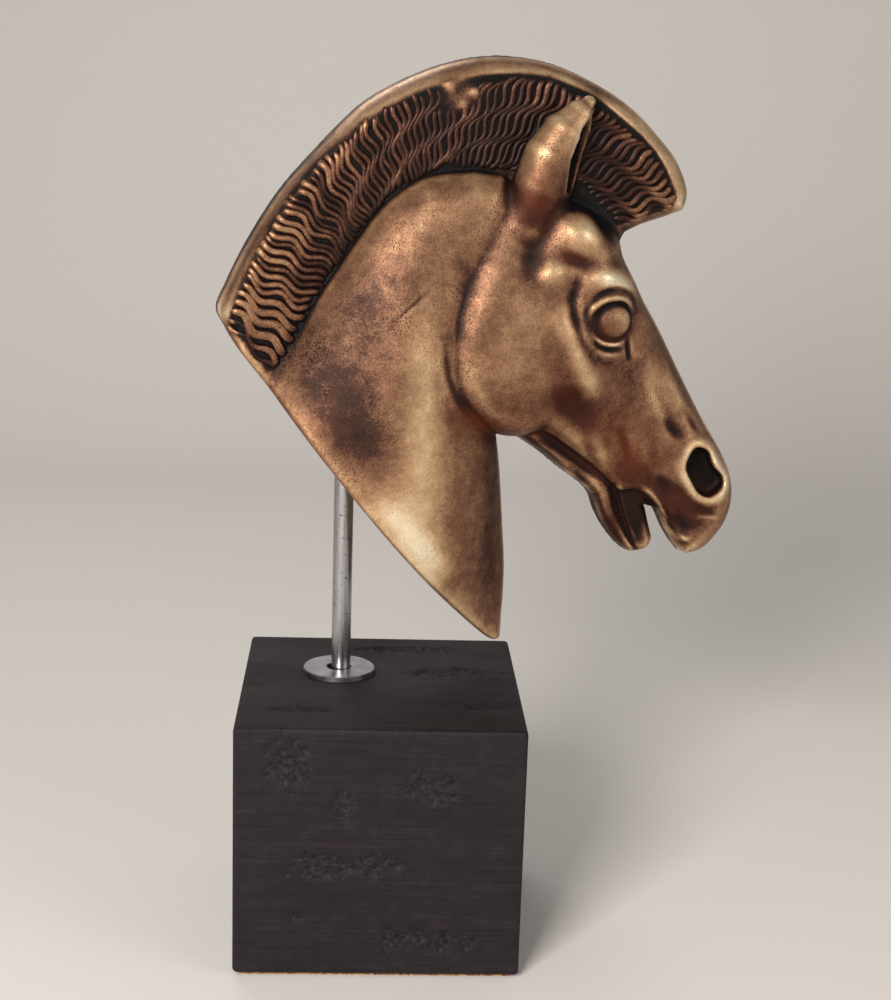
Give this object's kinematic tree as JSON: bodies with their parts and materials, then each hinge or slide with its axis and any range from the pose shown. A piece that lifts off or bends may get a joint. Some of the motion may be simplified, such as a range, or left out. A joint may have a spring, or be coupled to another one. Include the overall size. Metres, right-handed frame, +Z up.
{
  "type": "horse head statue on a post and block",
  "caption": "Hollow bronze horse head with a clipped, ridged mane, turning on a steel post that stands on a stained wooden block with a loose washer round its foot.",
  "frame": {"origin": "middle of the underside of the cork pad, under the middle of the wooden block", "axes": "+Z up along the post, +X to the side that the nose points to, +Y away from the side that shows the horse's near cheek; the head stands turned 7 degrees about +Z from +X"},
  "size_m": [0.2671, 0.142, 0.447],
  "materials": {
    "patinated_bronze": "dark patina rubbed back to bright bronze on the high places",
    "casting_resin": "matt, poured",
    "bright_steel": "bare drawn steel, scuffed",
    "zinc_plate": "bright zinc plate",
    "stained_wood": "black stain, matt, open grain and torn patches",
    "cork": "granulated cork sheet"
  },
  "bodies": {
    "base": {"wooden_block": "stained_wood", "cork_pad": "cork", "post": "bright_steel", "under_washer": "zinc_plate", "under_nut": "zinc_plate"},
    "washer": {"loose_washer": "zinc_plate"},
    "socket": {"socket_tube": "bright_steel"},
    "head": {"head_casting": "patinated_bronze", "neck_plug": "casting_resin"}
  },
  "joints": [
    {"name": "washer_slide", "type": "slide", "parent": "base", "child": "washer", "axis": [0, 0, 1], "range_m": [0, 0.08]},
    {"name": "head_lift", "type": "slide", "parent": "base", "child": "socket", "axis": [0, 0, 1], "range_m": [0, 0.045]},
    {"name": "head_swivel", "type": "hinge", "parent": "socket", "child": "head", "pos_m": [-0.021, 0.013, 0.255], "axis": [0, 0, 1], "continuous": true}
  ]
}
